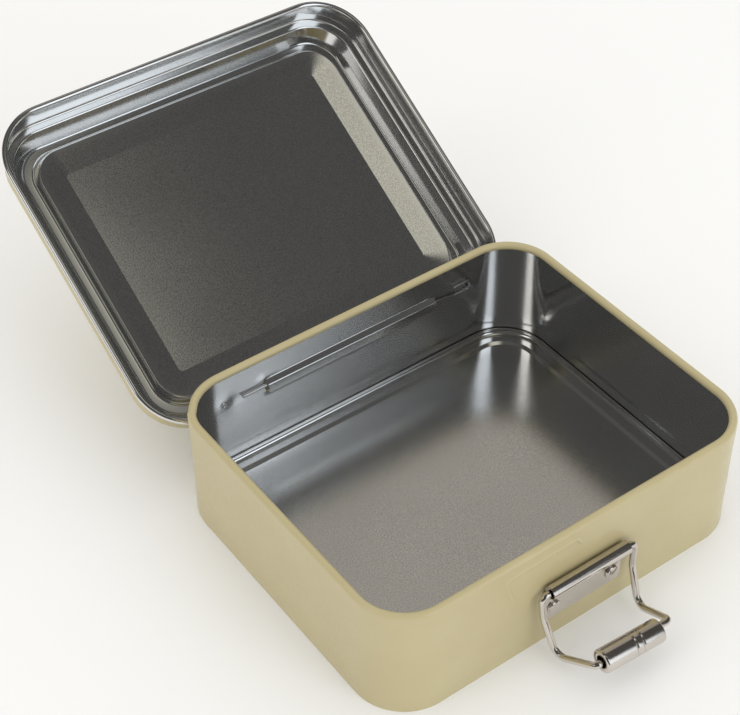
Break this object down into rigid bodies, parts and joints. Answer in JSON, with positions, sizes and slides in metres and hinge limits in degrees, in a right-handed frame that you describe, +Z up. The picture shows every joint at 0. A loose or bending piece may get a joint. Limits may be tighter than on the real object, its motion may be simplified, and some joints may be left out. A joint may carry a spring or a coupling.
{
  "type": "hinged metal tin box",
  "caption": "Shallow rectangular tin box with round corners, a stepped lid hinged at the back and a wire bail latch with a roller at the front.",
  "frame": {"origin": "middle of the underside of the box's floor, on the table", "axes": "+X along the hinge to the right, +Y from the latch to the hinge, +Z up"},
  "size_m": [0.155, 0.2712, 0.0912],
  "materials": {
    "cream_paint": "satin enamel over tinplate, bare tinplate on the inside",
    "tinplate": "bare tinplate, softly grained",
    "steel_wire": "bright drawn wire",
    "nickel": "bright nickel plate"
  },
  "bodies": {
    "box": {"box_wall": "cream_paint", "box_base": "tinplate", "hinge_pin": "steel_wire", "latch_bracket": "nickel", "rivet_left": "nickel", "rivet_right": "nickel"},
    "lid": {"lid_shell": "cream_paint", "hinge_leaf": "cream_paint"},
    "bail": {"bail_wire": "nickel"},
    "roller": {"bail_roller": "nickel"}
  },
  "joints": [
    {"name": "lid_hinge", "type": "hinge", "parent": "box", "child": "lid", "pos_m": [0, 0.0625, 0.03006], "axis": [1, 0, 0], "range_deg": [0, 149.2]},
    {"name": "bail_hinge", "type": "hinge", "parent": "box", "child": "bail", "pos_m": [0, -0.0652, 0.026], "axis": [-1, 0, 0], "range_deg": [-12, 127]},
    {"name": "roller_spin", "type": "hinge", "parent": "bail", "child": "roller", "pos_m": [-0.0015, -0.0875, 0.012], "axis": [0.9989, -0.0419, -0.0218], "continuous": true}
  ]
}
